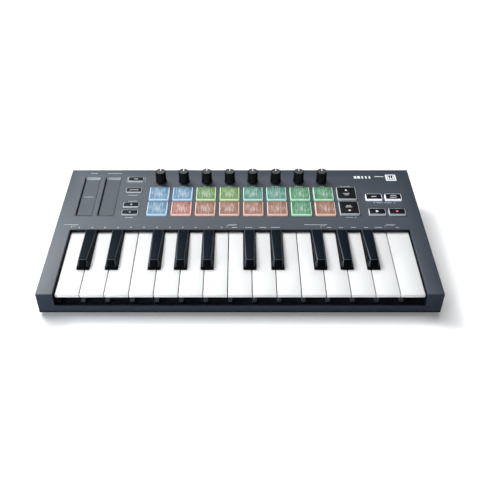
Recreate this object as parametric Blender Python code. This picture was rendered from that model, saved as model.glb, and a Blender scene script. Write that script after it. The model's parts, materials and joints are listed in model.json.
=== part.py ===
"""Compact MIDI keyboard controller: 25 small keys, 16 pads, 8 knobs, 10 buttons, 2 touch strips.

Units are metres, +Z is up and +X runs from the lowest key to the highest, so the player sits at -Y.
The origin is under the middle of the case, on the surface that the rubber feet stand on.

The deck is the sloping top panel. Most pieces are placed in deck coordinates (x, s, n): s runs
rearwards along the deck from its front edge and n points up, square to the deck.
"""
import math

import bmesh
import bpy
from mathutils import Matrix

# ---- driving dimensions: the case ----
WIDTH = 0.330                 # across the case
DECK_LENGTH = 0.172           # along the sloping deck
TILT = math.radians(5.0)      # slope of the deck, rising to the rear
FOOT_HEIGHT = 0.003           # feet, 0.5 mm of which sits in the bottom case
CASE_BOTTOM = 0.0025          # underside of the bottom case
CASE_SPLIT = 0.0043           # lower edge of the top case's walls
FRONT_TOP = 0.0233            # height of the deck's front edge
PANEL = 0.0022                # thickness of the deck and of the walls
GAP = 0.0003                  # clearance between touching pieces

# ---- driving dimensions: the keys ----
WHITE_COUNT = 15
WHITE_PITCH = 0.0201
WHITE_WIDTH = 0.0194
WHITE_FRONT = 0.0026          # s of the white keys' front faces
WHITE_TOP = -0.0032           # n of the white keys' tops
WHITE_LIP = -0.0062           # n of the lower edge of the white keys' front faces
KEY_SKIRT = -0.0100           # n of the lower edge of the keys' side walls
KEY_WALL = 0.0012
KEY_HOLLOW_END = 0.0890       # s where the keys' hollow undersides end and their tails begin
BLACK_SLOT_FRONT = 0.0322     # s where the white keys are cut away for the black ones
BLACK_SLOT_WIDTH = 0.0112
BLACK_WIDTH = 0.0100
BLACK_TOP_WIDTH = 0.0072
BLACK_FACE_WIDTH = 0.0078     # width of the sloping front face at its foot
BLACK_FRONT = 0.0330          # s of the upright foot below the sloping front face
BLACK_TOP_FRONT = 0.0368      # s of the top's front edge
BLACK_REAR = 0.0803           # s where the raised part ends, under the deck's edge
BLACK_LEDGE = 0.0003          # step between the foot and the sloping face
BLACK_FOOT = -0.0009          # n of the top of the foot
BLACK_HIGH_FRONT = 0.0044     # n of the top's front edge
BLACK_HIGH_REAR = 0.0003      # n of the top's rear edge
BLACK_OFFSET = {"c_sharp": -0.0017, "d_sharp": 0.0020, "f_sharp": -0.0021, "g_sharp": 0.0, "a_sharp": 0.0024}
KEY_END = 0.0976              # s of the keys' rear ends, hidden under the deck
PIVOT_S = 0.0940              # the keys' pivot axis
PIVOT_N = -0.0095
PIVOT_RADIUS = 0.0015
BAY_HALF = 0.1513             # half width of the opening for the keys
BAY_BACK = 0.0808             # s of the deck's edge behind the visible keys
RAIL_TOP = -0.0130            # n of the top of the strip below the keys' front faces

# ---- driving dimensions: the controls ----
PAD_PITCH = 0.0221
PAD_FIRST_X = -0.0762
PAD_SIZE = (0.0184, 0.0192)   # across and along the deck
PAD_ROWS = (0.1097, 0.1319)
PAD_TOP = 0.0017
KNOB_S = 0.1535
KNOB_BASE_RADIUS = 0.0052
KNOB_TOP_RADIUS = 0.0047
KNOB_TOP = 0.0118
SHAFT_RADIUS = 0.0028
STRIP_X = (-0.14295, -0.12295)
STRIP_SIZE = (0.0143, 0.0593)
STRIP_S = 0.13035
STRIP_TOP = -0.0018
BUTTON_TRAVEL = 0.0010
# name: (x, s, width, depth, height above the deck)
BUTTONS = {
    "shift_button": (-0.1008, 0.1553, 0.0148, 0.0068, 0.0013),
    "transpose_button": (-0.1008, 0.1378, 0.0148, 0.0068, 0.0013),
    "octave_up_button": (-0.1008, 0.1155, 0.0148, 0.0068, 0.0013),
    "octave_down_button": (-0.1008, 0.1042, 0.0148, 0.0068, 0.0013),
    "bank_up_button": (0.1004, 0.1320, 0.0178, 0.0186, 0.0020),
    "bank_down_button": (0.1004, 0.1100, 0.0178, 0.0186, 0.0020),
    "mode_left_button": (0.1255, 0.1266, 0.0150, 0.0084, 0.0020),
    "mode_right_button": (0.1437, 0.1266, 0.0150, 0.0084, 0.0020),
    "play_button": (0.1255, 0.1044, 0.0150, 0.0084, 0.0020),
    "record_button": (0.1437, 0.1044, 0.0150, 0.0084, 0.0020),
}

# ---- driving dimensions: inside the case ----
BOARD = 0.0016
CONTROL_BOARD_TOP = -0.0060   # n of the board below the deck
CONTROL_BOARD = (0.1530, 0.0992, 0.1612)   # half width, front s, rear s
SWITCH_TOP = -0.0052
POT_HALF = 0.0048
POT_TOP = -0.0027
CHASSIS_TOP = -0.0155
CHASSIS_BOTTOM = -0.0173
FRONT_STOP_TOP = -0.0123      # n of the chassis's front stops, below the keys' lowest travel
CONTACT_TOP = -0.0122
KEY_BOARD_TOP = -0.0139
MAIN_BOARD_TOP = 0.0090       # height of the board that carries the sockets
FOOT_RADIUS = 0.0080
FOOT_X, FOOT_Y = 0.1380, 0.0660
SOCKET_X = {"usb": -0.0500, "midi": 0.0, "sustain": 0.0420, "lock": 0.1180}
# (x, y) of the screw bosses that join the two halves of the case
BOSSES = [(side * 0.1575, y) for side in (-1, 1) for y in (-0.0725, -0.0100, 0.0780)]
BOSSES += [(-0.0850, 0.0793), (0.0850, 0.0793)]

FRONT_Y = -DECK_LENGTH * math.cos(TILT) / 2


def deck_to_world(s, n):
    """Return the (y, z) of the deck point s, n."""
    y = FRONT_Y + s * math.cos(TILT) - n * math.sin(TILT)
    z = FRONT_TOP + s * math.sin(TILT) + n * math.cos(TILT)
    return y, z


REAR_Y, REAR_TOP = deck_to_world(DECK_LENGTH, 0)


# ---- materials ----
def material(name, colour, roughness, metallic=0.0):
    """Return the Principled material of that name, made on first use."""
    found = bpy.data.materials.get(name)
    if found:
        return found
    made = bpy.data.materials.new(name)
    made.use_nodes = True
    shader = made.node_tree.nodes["Principled BSDF"]
    shader.inputs["Base Color"].default_value = (*colour, 1)
    shader.inputs["Roughness"].default_value = roughness
    shader.inputs["Metallic"].default_value = metallic
    made.diffuse_color = (*colour, 1)
    return made


CASE_PLASTIC = ("case_plastic", (0.075, 0.090, 0.105), 0.45)
BASE_PLASTIC = ("base_plastic", (0.018, 0.022, 0.027), 0.6)
WHITE_PLASTIC = ("white_key_plastic", (0.88, 0.88, 0.87), 0.25)
BLACK_PLASTIC = ("black_key_plastic", (0.012, 0.015, 0.019), 0.35)
CONTROL_PLASTIC = ("control_plastic", (0.010, 0.011, 0.012), 0.45)
PAD_SILICONE = ("pad_silicone", (0.35, 0.45, 0.42), 0.5)
CHASSIS_PLASTIC = ("chassis_plastic", (0.015, 0.016, 0.018), 0.6)
BOARD_RESIN = ("board_resin", (0.02, 0.12, 0.05), 0.5)
CONTACT_SILICONE = ("contact_silicone", (0.25, 0.26, 0.27), 0.7)
SOCKET_METAL = ("socket_metal", (0.60, 0.61, 0.62), 0.3, 1.0)
SOCKET_PLASTIC = ("socket_plastic", (0.012, 0.012, 0.013), 0.5)
FOOT_RUBBER = ("foot_rubber", (0.02, 0.02, 0.021), 0.8)


# ---- shapes: each adds one closed body to a bmesh ----
def prism(bm, outline, low, high, axis="Z"):
    """Extrude a closed outline from low to high along Z, or along X for an outline of (y, z) points."""
    def point(a, b, height):
        return (height, a, b) if axis == "X" else (a, b, height)
    bottom = [bm.verts.new(point(a, b, low)) for a, b in outline]
    top = [bm.verts.new(point(a, b, high)) for a, b in outline]
    faces = [bm.faces.new(bottom), bm.faces.new(top)]
    for i, vert in enumerate(bottom):
        j = (i + 1) % len(bottom)
        faces.append(bm.faces.new((vert, bottom[j], top[j], top[i])))
    bmesh.ops.recalc_face_normals(bm, faces=faces)


def block(bm, low, high):
    """Add a box between two corners."""
    prism(bm, rectangle(low[0], low[1], high[0], high[1]), low[2], high[2])


def rectangle(x0, y0, x1, y1):
    return [(x0, y0), (x1, y0), (x1, y1), (x0, y1)]


def rounded(x, y, width, depth, radius, steps=2):
    """Return the outline of a rectangle with round corners."""
    points = []
    for corner, (sx, sy) in enumerate(((1, 1), (-1, 1), (-1, -1), (1, -1))):
        cx = x + sx * (width / 2 - radius)
        cy = y + sy * (depth / 2 - radius)
        for step in range(steps + 1):
            angle = math.pi / 2 * (corner + step / steps)
            points.append((cx + radius * math.cos(angle), cy + radius * math.sin(angle)))
    return points


def circle(x, y, radius, sides):
    """Return the outline of a circle."""
    angles = [2 * math.pi * i / sides for i in range(sides)]
    return [(x + radius * math.cos(a), y + radius * math.sin(a)) for a in angles]


def turned(bm, profile, sides, x=0.0, y=0.0):
    """Add a turned body: profile lists (radius, height) from the bottom to the top."""
    rings = [[bm.verts.new((px, py, height)) for px, py in circle(x, y, radius, sides)]
             for radius, height in profile]
    faces = [bm.faces.new(rings[0]), bm.faces.new(rings[-1])]
    for lower, upper in zip(rings, rings[1:]):
        for i in range(sides):
            j = (i + 1) % sides
            faces.append(bm.faces.new((lower[i], lower[j], upper[j], upper[i])))
    bmesh.ops.recalc_face_normals(bm, faces=faces)


def barrel(bm, x, radius, y0, y1, z, sides):
    """Add a cylinder along Y."""
    start = len(bm.verts)
    turned(bm, [(radius, y0), (radius, y1)], sides)
    bm.verts.ensure_lookup_table()
    verts = bm.verts[start:]
    turn = Matrix.Rotation(math.radians(-90), 4, "X")
    bmesh.ops.transform(bm, matrix=Matrix.Translation((x, 0, z)) @ turn, verts=verts)


def mesh_from(name, build):
    """Return a mesh that build(bm) fills."""
    bm = bmesh.new()
    build(bm)
    mesh = bpy.data.meshes.new(name)
    bm.to_mesh(mesh)
    bm.free()
    return mesh


# ---- objects ----
def add(name, mesh, finish, parent=None, place=(0, 0, 0)):
    """Add an object with its own origin at place, in its parent's coordinates."""
    piece = bpy.data.objects.new(name, mesh)
    bpy.context.scene.collection.objects.link(piece)
    piece.parent = parent
    piece.location = place
    if not mesh.materials:
        mesh.materials.append(material(*finish))
    return piece


def carve(piece, tools, operation="DIFFERENCE"):
    """Cut each tool's body out of the piece, or join it on, and keep the result as the piece's mesh."""
    for number, build in enumerate(tools):
        tool_mesh = mesh_from(f"tool_{number}", build)
        tool = bpy.data.objects.new(f"tool_{number}", tool_mesh)
        bpy.context.scene.collection.objects.link(tool)
        tool.parent = piece
        modifier = piece.modifiers.new("boolean", "BOOLEAN")
        modifier.operation = operation
        modifier.solver = "EXACT"
        modifier.object = tool
        bpy.context.view_layer.update()
        depsgraph = bpy.context.evaluated_depsgraph_get()
        result = bpy.data.meshes.new_from_object(piece.evaluated_get(depsgraph))
        result.name = piece.data.name
        piece.modifiers.clear()
        piece.data = result
        bpy.data.objects.remove(tool)
        bpy.data.meshes.remove(tool_mesh)


def smooth(piece, angle=40):
    """Shade round surfaces smooth and keep the corners sharp."""
    piece.data.shade_smooth()
    piece.data.set_sharp_from_angle(angle=math.radians(angle))


def add_deck():
    """Add the empty that carries the deck coordinates."""
    deck = bpy.data.objects.new("deck", None)
    bpy.context.scene.collection.objects.link(deck)
    deck.location = (0, FRONT_Y, FRONT_TOP)
    deck.rotation_euler = (TILT, 0, 0)
    return deck


# ---- the case ----
def front_wall_y(z):
    """Return the y of the front wall, which is square to the deck, at height z."""
    return FRONT_Y + (FRONT_TOP - z) * math.tan(TILT)


def deck_openings(bm):
    """Add the cutters for the pads, buttons, strips and knobs that come through the deck."""
    low, high = -0.006, 0.004
    clear = 2 * GAP
    pad_width, pad_depth = PAD_SIZE
    for column in range(8):
        x = PAD_FIRST_X + column * PAD_PITCH
        for s in PAD_ROWS:
            prism(bm, rounded(x, s, pad_width + clear, pad_depth + clear, 0.0012), low, high)
        prism(bm, circle(x, KNOB_S, SHAFT_RADIUS + 2 * GAP, 12), low, high)
    for x in STRIP_X:
        prism(bm, rounded(x, STRIP_S, *STRIP_SIZE, 0.0012), low, high)
    for x, s, width, depth, _ in BUTTONS.values():
        prism(bm, rounded(x, s, width + clear, depth + clear, 0.0010), low, high)
    turn = Matrix.Translation((0, FRONT_Y, FRONT_TOP)) @ Matrix.Rotation(TILT, 4, "X")
    bmesh.ops.transform(bm, matrix=turn, verts=bm.verts)


def rear_openings(bm):
    """Add the cutters for the sockets and the lock slot in the rear wall."""
    near, far = REAR_Y - 0.004, REAR_Y + 0.002
    x = SOCKET_X["usb"]
    block(bm, (x - 0.0063, near, 0.0090), (x + 0.0063, far, 0.0208))
    barrel(bm, SOCKET_X["midi"], 0.0031, near, far, 0.0140, 16)
    barrel(bm, SOCKET_X["sustain"], 0.0052, near, far, 0.0160, 24)
    x = SOCKET_X["lock"]
    block(bm, (x - 0.0036, near, 0.0140), (x + 0.0036, far, 0.0172))


def body_cavity(bm):
    """Add the hollow behind the keys, open at the bottom."""
    back = REAR_Y - PANEL
    low = CASE_SPLIT - 0.002
    front_y, front_z = deck_to_world(BAY_BACK + 0.0020, -PANEL)
    back_s = (back - FRONT_Y - PANEL * math.sin(TILT)) / math.cos(TILT)
    outline = [(front_y, low), (back, low), (back, deck_to_world(back_s, -PANEL)[1]), (front_y, front_z)]
    prism(bm, outline, -WIDTH / 2 + PANEL, WIDTH / 2 - PANEL, "X")


def key_bay(bm):
    """Add the opening for the keys: through the deck, and through the front wall above the rail."""
    low = CASE_SPLIT - 0.002
    past = 0.004
    lip = -0.0029
    bay_back = deck_to_world(BAY_BACK, 0)[0]
    rail_y, rail_z = deck_to_world(0.0020, RAIL_TOP)
    outline = [(rail_y, low), (bay_back + past, low), deck_to_world(BAY_BACK + past, lip),
               deck_to_world(BAY_BACK, lip), deck_to_world(BAY_BACK, past), deck_to_world(-past, past),
               deck_to_world(-past, RAIL_TOP), (rail_y, rail_z)]
    prism(bm, outline, -BAY_HALF, BAY_HALF, "X")


def cheek_pocket(side):
    """Return a builder for the hollow inside one of the blocks beside the keys."""
    def build(bm):
        low = CASE_SPLIT - 0.002
        front = front_wall_y(FRONT_TOP) + PANEL + 0.002
        back_y, back_z = deck_to_world(BAY_BACK + 0.004, -PANEL)
        _, front_z = deck_to_world(0.004, -PANEL)
        inner, outer = BAY_HALF + 0.0018, WIDTH / 2 - PANEL
        ends = sorted((side * inner, side * outer))
        prism(bm, [(front, low), (back_y, low), (back_y, back_z), (front, front_z)], *ends, "X")
    return build


def boss_bodies(bm):
    """Add the screw bosses that hang from the deck."""
    for x, y in BOSSES:
        deck_z = FRONT_TOP + (y - FRONT_Y) * math.tan(TILT)
        prism(bm, circle(x, y, 0.0030, 12), CASE_SPLIT + 0.0010, deck_z - PANEL / 2)


def boss_holes(bm):
    """Add the bosses' pilot holes."""
    for x, y in BOSSES:
        prism(bm, circle(x, y, 0.0012, 8), CASE_SPLIT - 0.001, CASE_SPLIT + 0.0105)


def add_top_case():
    """Add the one-piece shell: deck, side walls, rear wall, cheeks and the rail below the keys."""
    outline = [(FRONT_Y, FRONT_TOP), (REAR_Y, REAR_TOP), (REAR_Y, CASE_SPLIT),
               (front_wall_y(CASE_SPLIT), CASE_SPLIT)]
    mesh = mesh_from("top_case", lambda bm: prism(bm, outline, -WIDTH / 2, WIDTH / 2, "X"))
    case = add("top_case", mesh, CASE_PLASTIC)
    carve(case, [body_cavity, key_bay, cheek_pocket(-1), cheek_pocket(1)])
    carve(case, [boss_bodies], "UNION")
    carve(case, [boss_holes, deck_openings, rear_openings])


def add_bottom_case():
    """Add the flat tray: floor, standing edges inside the side walls, posts and foot recesses."""
    front = front_wall_y(CASE_BOTTOM)
    floor = CASE_SPLIT - GAP
    root = floor - 0.0005
    edge_top = 0.0085

    def plate(bm):
        block(bm, (-WIDTH / 2, front, CASE_BOTTOM), (WIDTH / 2, REAR_Y, floor))

    def standing_edges(bm):
        for side in (-1, 1):
            outer = side * (WIDTH / 2 - PANEL - GAP)
            x0, x1 = sorted((outer, outer - side * 0.0012))
            block(bm, (x0, FRONT_Y + 0.020, root), (x1, FRONT_Y + 0.070, edge_top))
            block(bm, (x0, FRONT_Y + 0.090, root), (x1, REAR_Y - 0.020, edge_top))

    def posts(bm):
        for x in (-0.120, -0.040, 0.040, 0.120):
            for s in (0.020, 0.086):
                y, z = deck_to_world(s, CHASSIS_BOTTOM - 2 * GAP)
                prism(bm, circle(x, y, 0.0030, 10), root, z - GAP)
        for x in (-0.066, 0.060):
            for y in (REAR_Y - 0.044, REAR_Y - 0.008):
                prism(bm, circle(x, y, 0.0025, 10), root, MAIN_BOARD_TOP - BOARD - GAP)

    def recesses(bm):
        for x in (-FOOT_X, FOOT_X):
            for y in (-FOOT_Y, FOOT_Y):
                prism(bm, circle(x, y, FOOT_RADIUS + GAP, 24), 0, CASE_BOTTOM + 0.0008)
        for x, y in BOSSES:
            prism(bm, circle(x, y, 0.0028, 12), 0, CASE_BOTTOM + 0.0008)

    def screw_holes(bm):
        for x, y in BOSSES:
            prism(bm, circle(x, y, 0.0014, 8), 0, floor + 0.001)

    case = add("bottom_case", mesh_from("bottom_case", plate), BASE_PLASTIC)
    carve(case, [standing_edges, posts], "UNION")
    carve(case, [recesses, screw_holes])


def add_feet():
    """Add four rubber feet, set into the bottom case."""
    def foot(bm):
        turned(bm, [(0.0070, 0), (FOOT_RADIUS, 0.0010), (FOOT_RADIUS, FOOT_HEIGHT)], 24)
    mesh = mesh_from("foot", foot)
    for row, y in (("front", -FOOT_Y), ("rear", FOOT_Y)):
        for side, x in (("left", -FOOT_X), ("right", FOOT_X)):
            smooth(add(f"{row}_{side}_foot", mesh, FOOT_RUBBER, place=(x, y, 0)))


# ---- the keys ----
def key_slot_edges(white_index, notes):
    """Return how far a white key's rear part reaches left and right of its centre."""
    edges = []
    for side, note in zip((-1, 1), notes):
        if note is None:
            edges.append(side * WHITE_WIDTH / 2)
        else:
            edges.append(side * WHITE_PITCH / 2 + BLACK_OFFSET[note] - side * BLACK_SLOT_WIDTH / 2)
    return edges


def white_outline(left, right, inset=0.0, front=WHITE_FRONT, back=KEY_END):
    """Return a white key's plan outline, in (x, s), narrowed by inset all round."""
    half = WHITE_WIDTH / 2 - inset
    left, right = left + inset, right - inset
    slot = BLACK_SLOT_FRONT - inset
    outline = [(-half, front + inset), (half, front + inset)]
    outline += [(half, slot), (right, slot)] if right < half - 1e-6 else []
    outline += [(right, back - inset), (left, back - inset)]
    outline += [(left, slot), (-half, slot)] if left > -half + 1e-6 else []
    return outline


def shift(outline, dx, dy):
    return [(x + dx, y + dy) for x, y in outline]


def tail_relief(bm):
    """Add the cutter that takes a key's tail away below the pivot axis."""
    block(bm, (-0.02, KEY_HOLLOW_END - PIVOT_S, -0.006), (0.02, 0.01, 0.0))


def pivot_notch(bm):
    """Add the cutter for the half-round notch that sits on the chassis's pivot bar."""
    prism(bm, circle(0, 0, PIVOT_RADIUS + GAP, 16), -0.02, 0.02, "X")


def white_key_mesh(name, left, right):
    """Return a white key: a thin shell, open below, with a solid tail over the pivot."""
    outline = shift(white_outline(left, right), 0, -PIVOT_S)
    mesh = mesh_from(name, lambda bm: prism(bm, outline, KEY_SKIRT - PIVOT_N, WHITE_TOP - PIVOT_N))
    inside = shift(white_outline(left, right, KEY_WALL, back=KEY_HOLLOW_END), 0, -PIVOT_S)
    ceiling = WHITE_TOP - 0.0018 - PIVOT_N

    def pocket(bm):
        prism(bm, inside, KEY_SKIRT - PIVOT_N - 0.001, ceiling)

    def front_relief(bm):
        lip = WHITE_LIP - PIVOT_N
        low = KEY_SKIRT - PIVOT_N - 0.001
        front = WHITE_FRONT - PIVOT_S
        outline = [(front - 0.001, low), (front + 0.016, low), (front + 0.010, lip), (front - 0.001, lip)]
        prism(bm, outline, -0.02, 0.02, "X")

    return mesh, [pocket, front_relief, tail_relief, pivot_notch]


def black_key_mesh():
    """Return a black key: a foot, a tapered body with a sloping front face, and a low tail."""
    half, top_half, face_half = BLACK_WIDTH / 2, BLACK_TOP_WIDTH / 2, BLACK_FACE_WIDTH / 2
    front, top_front = BLACK_FRONT - PIVOT_S, BLACK_TOP_FRONT - PIVOT_S
    rear, end = BLACK_REAR - PIVOT_S, KEY_END - PIVOT_S
    face, corner = front + BLACK_LEDGE, front + 0.0023
    low, level, foot = KEY_SKIRT - PIVOT_N, WHITE_TOP - PIVOT_N, BLACK_FOOT - PIVOT_N
    high_front, high_rear = BLACK_HIGH_FRONT - PIVOT_N, BLACK_HIGH_REAR - PIVOT_N
    rear_half = half - (half - top_half) * (high_rear - foot) / (high_front - foot)
    points = {
        "low_front": (half, front, low), "low_end": (half, end, low), "tail_end": (half, end, level),
        "tail_start": (half, rear, level), "foot_rear": (half, rear, foot),
        "foot_corner": (half, corner, foot),
        "foot_front": (half, front, foot), "face_foot": (face_half, face, foot),
        "top_front": (top_half, top_front, high_front), "top_rear": (rear_half, rear, high_rear),
    }
    side_faces = (
        ("low_front", "low_end", "tail_end", "tail_start", "foot_rear", "foot_corner", "foot_front"),
        ("foot_corner", "foot_rear", "top_rear", "top_front"),
        ("foot_corner", "top_front", "face_foot"),
    )
    across_faces = (
        ("low_front", "low_end"), ("low_end", "tail_end"), ("tail_end", "tail_start"),
        ("tail_start", "foot_rear", "top_rear"), ("top_rear", "top_front"), ("top_front", "face_foot"),
        ("face_foot", "foot_corner", "foot_front"), ("foot_front", "low_front"),
    )

    def build(bm):
        right = {name: bm.verts.new(p) for name, p in points.items()}
        left = {name: bm.verts.new((-x, y, z)) for name, (x, y, z) in points.items()}
        for names in side_faces:
            bm.faces.new([right[name] for name in names])
            bm.faces.new([left[name] for name in names])
        for names in across_faces:
            bm.faces.new([right[name] for name in names] + [left[name] for name in reversed(names)])
        bmesh.ops.recalc_face_normals(bm, faces=bm.faces)

    def pocket(bm):
        block(bm, (-half + KEY_WALL, front + KEY_WALL, low - 0.001),
              (half - KEY_WALL, KEY_HOLLOW_END - PIVOT_S, level))

    return mesh_from("black_key", build), [pocket, tail_relief, pivot_notch]


def add_keys(deck):
    """Add 25 keys from C to C, each with its origin on the pivot axis."""
    scale = ("c", "c_sharp", "d", "d_sharp", "e", "f", "f_sharp", "g", "g_sharp", "a", "a_sharp", "b")
    made = {}
    first_x = -WHITE_PITCH * (WHITE_COUNT - 1) / 2
    whites = 0
    for index in range(25):
        note = scale[index % 12]
        name = f"key_{note}_{index // 12 + 1}"
        if note in BLACK_OFFSET:
            x = first_x + (whites - 0.5) * WHITE_PITCH + BLACK_OFFSET[note]
            shape = "black_key"
            finish = BLACK_PLASTIC
        else:
            x = first_x + whites * WHITE_PITCH
            whites += 1
            below, above = scale[index % 12 - 1], scale[(index + 1) % 12]
            neighbours = (below if below in BLACK_OFFSET else None,
                          above if above in BLACK_OFFSET and index < 24 else None)
            shape = "white_key_" + (note if index < 24 else "last")
            finish = WHITE_PLASTIC
        if shape in made:
            add(name, made[shape], finish, deck, (x, PIVOT_S, PIVOT_N))
            continue
        if shape == "black_key":
            mesh, tools = black_key_mesh()
        else:
            mesh, tools = white_key_mesh(shape, *key_slot_edges(whites, neighbours))
        key = add(name, mesh, finish, deck, (x, PIVOT_S, PIVOT_N))
        carve(key, tools)
        made[shape] = key.data


def add_key_chassis(deck):
    """Add the frame that the keys sit on: base plate, guide tabs, front stops and pivot bar."""
    half = BAY_HALF - 0.0007

    def plate(bm):
        block(bm, (-half, 0.0045, CHASSIS_BOTTOM), (half, KEY_END, CHASSIS_TOP))

    def pivot(bm):
        wall, root = 0.0008, CHASSIS_TOP - 0.0005
        neck = PIVOT_N - math.sqrt(PIVOT_RADIUS ** 2 - wall ** 2)
        arc = []
        start = math.atan2(neck - PIVOT_N, wall)
        for step in range(13):
            angle = start + (math.pi - 2 * start) * step / 12
            arc.append((PIVOT_S + PIVOT_RADIUS * math.cos(angle), PIVOT_N + PIVOT_RADIUS * math.sin(angle)))
        outline = [(PIVOT_S - wall, root), (PIVOT_S + wall, root)] + arc
        prism(bm, outline, -half, half, "X")

    def guides(bm):
        for number in range(WHITE_COUNT):
            x = (number - (WHITE_COUNT - 1) / 2) * WHITE_PITCH
            block(bm, (x - 0.0080, 0.0200, CHASSIS_TOP - 0.0005), (x + 0.0080, 0.0225, -0.0087))
            left, right = x - 0.0098, x - 0.0064
            block(bm, (left, 0.0048, CHASSIS_TOP - 0.0005), (right, 0.0090, FRONT_STOP_TOP))

    chassis = add("key_chassis", mesh_from("key_chassis", plate), CHASSIS_PLASTIC, deck)
    carve(chassis, [pivot, guides], "UNION")


def add_key_contacts(deck):
    """Add the keys' circuit board and the silicone strip of contact domes on it."""
    half = BAY_HALF - 0.0020
    top, bottom = KEY_BOARD_TOP, CHASSIS_TOP + GAP
    board = mesh_from("key_board", lambda bm: block(bm, (-half, 0.040, bottom), (half, 0.074, top)))
    add("key_board", board, BOARD_RESIN, deck)

    def sheet(bm):
        block(bm, (-half, 0.044, top + GAP), (half, 0.070, top + 0.0008))

    def domes(bm):
        for number in range(25):
            x = (number - 12) * 0.01206
            turned(bm, [(0.0036, top + 0.0005), (0.0026, CONTACT_TOP)], 8, x, 0.057)

    strip = add("key_contact_strip", mesh_from("key_contact_strip", sheet), CONTACT_SILICONE, deck)
    carve(strip, [domes], "UNION")


# ---- the controls on the deck ----
def add_pad_mat(deck):
    """Add the silicone moulding: 16 pads standing on one sheet."""
    last_x = PAD_FIRST_X + 7 * PAD_PITCH
    pad_width, pad_depth = PAD_SIZE
    side, end = pad_width / 2 + 0.0015, pad_depth / 2 + 0.0015

    def sheet(bm):
        block(bm, (PAD_FIRST_X - side, PAD_ROWS[0] - end, -0.0037),
              (last_x + side, PAD_ROWS[1] + end, -PANEL - GAP))

    def pads(bm):
        for column in range(8):
            for s in PAD_ROWS:
                outline = rounded(PAD_FIRST_X + column * PAD_PITCH, s, pad_width, pad_depth, 0.0010)
                prism(bm, outline, CONTROL_BOARD_TOP + GAP, PAD_TOP)

    mat = add("pad_mat", mesh_from("pad_mat", sheet), PAD_SILICONE, deck)
    carve(mat, [pads], "UNION")


def add_touch_strips(deck):
    """Add the two flat touch strips, let into the deck from below."""
    width, depth = STRIP_SIZE

    def face(bm):
        prism(bm, rounded(0, 0, width - 2 * GAP, depth - 2 * GAP, 0.0010), -0.0036, STRIP_TOP)

    def flange(bm):
        block(bm, (-width / 2 - 0.001, -depth / 2 - 0.001, -0.0036),
              (width / 2 + 0.001, depth / 2 + 0.001, -PANEL - GAP))

    for name, x in zip(("pitch_strip", "modulation_strip"), STRIP_X):
        strip = add(name, mesh_from(name, face), CONTROL_PLASTIC, deck, (x, STRIP_S, 0))
        carve(strip, [flange], "UNION")


def add_buttons(deck):
    """Add the push buttons: a cap, a flange that keeps it in and a plunger above its switch."""
    for name, (x, s, width, depth, height) in BUTTONS.items():
        def cap(bm):
            prism(bm, rounded(0, 0, width, depth, 0.0010), -0.0030, height)

        def flange(bm):
            block(bm, (-width / 2 - 0.0008, -depth / 2 - 0.0008, -0.0033),
                  (width / 2 + 0.0008, depth / 2 + 0.0008, -PANEL - GAP))

        def plunger(bm):
            prism(bm, circle(0, 0, 0.0015, 10), -0.0040, -0.0029)

        button = add(name, mesh_from(name, cap), CONTROL_PLASTIC, deck, (x, s, 0))
        carve(button, [flange, plunger], "UNION")


def add_knobs(deck):
    """Add the rotary knobs, each one piece with the shaft that turns in its potentiometer."""
    profile = [(SHAFT_RADIUS, -0.0050), (SHAFT_RADIUS, 0.0008), (KNOB_BASE_RADIUS, 0.0008),
               (KNOB_BASE_RADIUS, 0.0016), (KNOB_TOP_RADIUS, 0.0026), (KNOB_TOP_RADIUS - 0.0002, 0.0112),
               (KNOB_TOP_RADIUS - 0.0008, KNOB_TOP)]
    mesh = mesh_from("knob", lambda bm: turned(bm, profile, 20))
    for column in range(8):
        place = (PAD_FIRST_X + column * PAD_PITCH, KNOB_S, 0)
        smooth(add(f"knob_{column + 1}", mesh, CONTROL_PLASTIC, deck, place))


def add_control_board(deck):
    """Add the board under the deck, with its potentiometers and button switches."""
    half, front, rear = CONTROL_BOARD
    top = CONTROL_BOARD_TOP

    def plate(bm):
        block(bm, (-half, front, top - BOARD), (half, rear, top))

    def parts(bm):
        for column in range(8):
            x = PAD_FIRST_X + column * PAD_PITCH
            block(bm, (x - POT_HALF, KNOB_S - POT_HALF, top - 0.0005),
                  (x + POT_HALF, KNOB_S + POT_HALF, POT_TOP))
        for x, s, *_ in BUTTONS.values():
            block(bm, (x - 0.0022, s - 0.0022, top - 0.0005), (x + 0.0022, s + 0.0022, SWITCH_TOP))

    def bores(bm):
        for column in range(8):
            x = PAD_FIRST_X + column * PAD_PITCH
            prism(bm, circle(x, KNOB_S, SHAFT_RADIUS + GAP, 12), -0.0055, 0.0)

    board = add("control_board", mesh_from("control_board", plate), BOARD_RESIN, deck)
    carve(board, [parts], "UNION")
    carve(board, [bores])


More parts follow.
